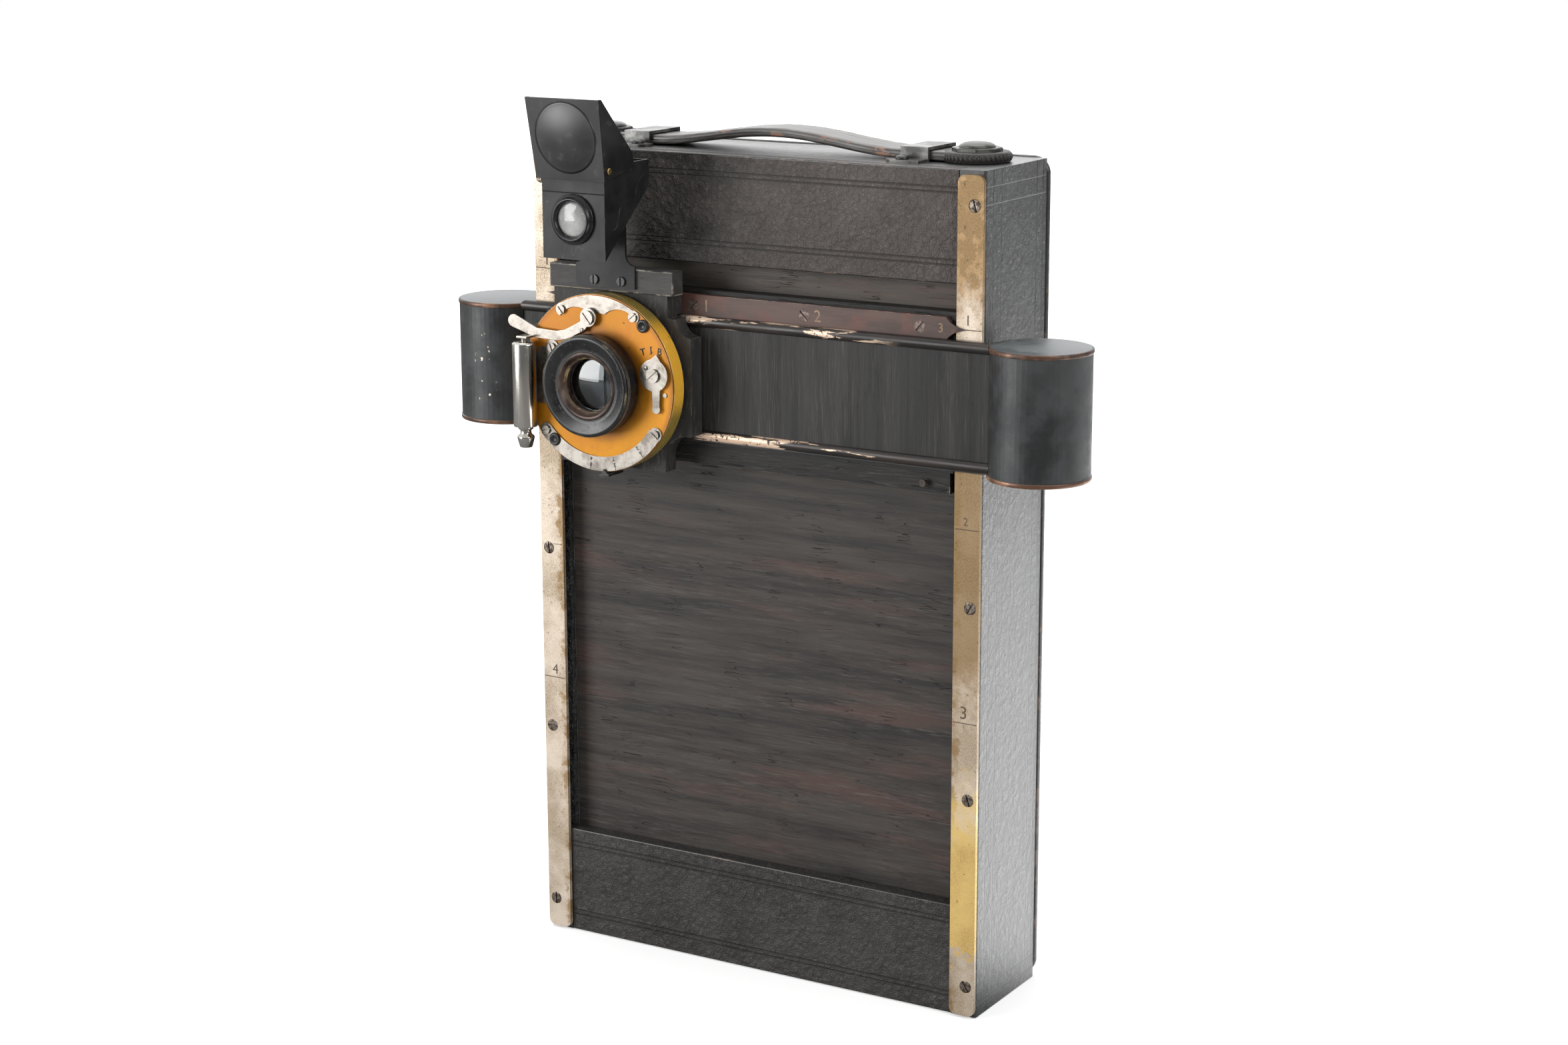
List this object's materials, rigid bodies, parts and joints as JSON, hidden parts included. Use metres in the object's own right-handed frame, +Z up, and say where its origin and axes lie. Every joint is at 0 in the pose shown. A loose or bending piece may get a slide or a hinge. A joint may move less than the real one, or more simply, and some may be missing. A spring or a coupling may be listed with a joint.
{
  "type": "multiplying plate camera",
  "caption": "Leather-covered box camera whose lens board slides across a band and up and down the front to share one plate among many small pictures.",
  "frame": {"origin": "mouth of the tripod bush, in the middle of the case's underside", "axes": "+Z up along the case, +X to the right as seen from the front, the lens looks along -Y"},
  "size_m": [0.2516, 0.0875, 0.3155],
  "materials": {
    "leather": "grained, semi-gloss black leather over wood",
    "blind": "lacquered slatted blind, satin",
    "black_wood": "ebonised, satin",
    "dark_wood": "stained and oiled",
    "nickel": "worn nickel plate, satin",
    "rail_nickel": "nickel worn through to brass, satin",
    "lacquered_brass": "orange-gold lacquer, semi-gloss",
    "brass": "plain brass",
    "bronze": "bronzed brass, satin",
    "black_metal": "black japan, satin",
    "blued_steel": "blued",
    "brown_metal": "brown lacquer worn to brass",
    "steel": "dull",
    "glass": "clear",
    "mirror": "silvered glass"
  },
  "bodies": {
    "case": {"left_side": "leather", "right_side": "leather", "top_board": "leather", "bottom_board": "leather", "upper_front_panel": "leather", "lower_front_panel": "leather", "index_rails": "rail_nickel", "rail_screws": "steel", "tripod_bush": "brass", "plate_frame": "dark_wood", "glass_plate": "glass", "handle_strap": "leather", "strap_ends": "leather", "strap_keepers": "black_metal", "keeper_screws": "black_metal"},
    "back": {"back_panel": "leather"},
    "upper_roll": {"upper_roller": "dark_wood"},
    "lower_roll": {"lower_roller": "dark_wood"},
    "carriage": {"upper_blind": "blind", "lower_blind": "blind", "carriage_frame": "black_wood", "band_plate": "black_metal", "band_mouldings": "brown_metal", "scale_bar": "bronze", "band_screws": "steel", "lower_cleat": "black_wood", "drums": "black_metal", "drum_caps": "brown_metal"},
    "left_roll": {"left_spool": "dark_wood"},
    "right_roll": {"right_spool": "dark_wood"},
    "lens": {"left_blind": "blind", "right_blind": "blind", "lens_board": "black_wood", "top_cleat": "black_wood", "shutter_flange": "black_metal", "shutter_case": "lacquered_brass", "shutter_face": "lacquered_brass", "top_crescent": "nickel", "aperture_scale": "nickel", "face_screws": "nickel", "black_screws": "black_metal", "air_cylinder": "nickel", "cylinder_bracket": "nickel", "hose_nozzle": "nickel", "lens_ring": "black_metal", "lens_bezel": "brown_metal", "lens_glasses": "glass", "finder_body": "black_metal", "finder_bezel": "black_metal", "finder_glasses": "glass", "finder_mirror": "mirror", "finder_bracket": "black_metal", "hood_rivets": "brass"},
    "lever": {"release_lever": "nickel"},
    "air_piston": {"piston": "steel"},
    "blade_left": {"left_blade": "blued_steel"},
    "blade_right": {"right_blade": "blued_steel"},
    "mode_selector": {"selector": "nickel"},
    "iris": {"aperture_pointer": "black_metal"},
    "hood": {"finder_hood": "black_metal"}
  },
  "joints": [
    {"name": "back_draw", "type": "slide", "parent": "case", "child": "back", "axis": [0, 1, 0], "range_m": [0, 0.04]},
    {"name": "carriage_slide", "type": "slide", "parent": "case", "child": "carriage", "axis": [0, 0, 1], "range_m": [-0.1439, 0.0085], "deforming": ["upper_blind", "lower_blind"]},
    {"name": "upper_roller_turn", "type": "hinge", "parent": "case", "child": "upper_roll", "pos_m": [0, -0.0069, 0.2725], "axis": [1, 0, 0], "range_deg": [-60, 840]},
    {"name": "lower_roller_turn", "type": "hinge", "parent": "case", "child": "lower_roll", "pos_m": [0, -0.0069, 0.0235], "axis": [1, 0, 0], "range_deg": [-60, 840]},
    {"name": "lens_slide", "type": "slide", "parent": "carriage", "child": "lens", "axis": [1, 0, 0], "range_m": [0, 0.1011], "deforming": ["left_blind", "right_blind"]},
    {"name": "left_spool_turn", "type": "hinge", "parent": "carriage", "child": "left_roll", "pos_m": [-0.10824, -0.01852, 0.21513], "axis": [0, 0, 1], "range_deg": [-10, 680]},
    {"name": "right_spool_turn", "type": "hinge", "parent": "carriage", "child": "right_roll", "pos_m": [0.10824, -0.01852, 0.21513], "axis": [0, 0, 1], "range_deg": [-10, 680]},
    {"name": "piston_stroke", "type": "slide", "parent": "lens", "child": "air_piston", "axis": [0, 0, 1], "range_m": [0, 0.0035], "stiffness_N_per_m": 60, "springref_m": -0.003},
    {"name": "release_lever_turn", "type": "hinge", "parent": "lens", "child": "lever", "pos_m": [-0.05273, -0.0465, 0.23843], "axis": [0, 1, 0], "range_deg": [-1, 8.8]},
    {"name": "right_blade_turn", "type": "hinge", "parent": "lens", "child": "blade_right", "pos_m": [-0.05053, -0.041, 0.23313], "axis": [0, -1, 0], "range_deg": [-1, 35]},
    {"name": "left_blade_turn", "type": "hinge", "parent": "lens", "child": "blade_left", "pos_m": [-0.05053, -0.0418, 0.23313], "axis": [0, 1, 0], "range_deg": [-1, 35]},
    {"name": "selector_turn", "type": "hinge", "parent": "lens", "child": "mode_selector", "pos_m": [-0.02616, -0.0458, 0.22023], "axis": [0, -1, 0], "range_deg": [0, 46]},
    {"name": "aperture_turn", "type": "hinge", "parent": "lens", "child": "iris", "pos_m": [-0.05053, -0.0372, 0.21513], "axis": [0, -1, 0], "range_deg": [-30, 42]},
    {"name": "hood_fold", "type": "hinge", "parent": "lens", "child": "hood", "pos_m": [-0.05053, -0.057, 0.29103], "axis": [1, 0, 0], "range_deg": [-95, 0]}
  ],
  "couplings": [
    {"joint": "upper_roller_turn", "follows": "carriage_slide", "rad_per_m": -97.087},
    {"joint": "lower_roller_turn", "follows": "carriage_slide", "rad_per_m": -97.087},
    {"joint": "left_spool_turn", "follows": "lens_slide", "rad_per_m": 115.21},
    {"joint": "right_spool_turn", "follows": "lens_slide", "rad_per_m": 115.21},
    {"joint": "release_lever_turn", "follows": "piston_stroke", "rad_per_m": 39.066},
    {"joint": "right_blade_turn", "follows": "piston_stroke", "rad_per_m": 169.55},
    {"joint": "left_blade_turn", "follows": "piston_stroke", "rad_per_m": 169.55}
  ]
}
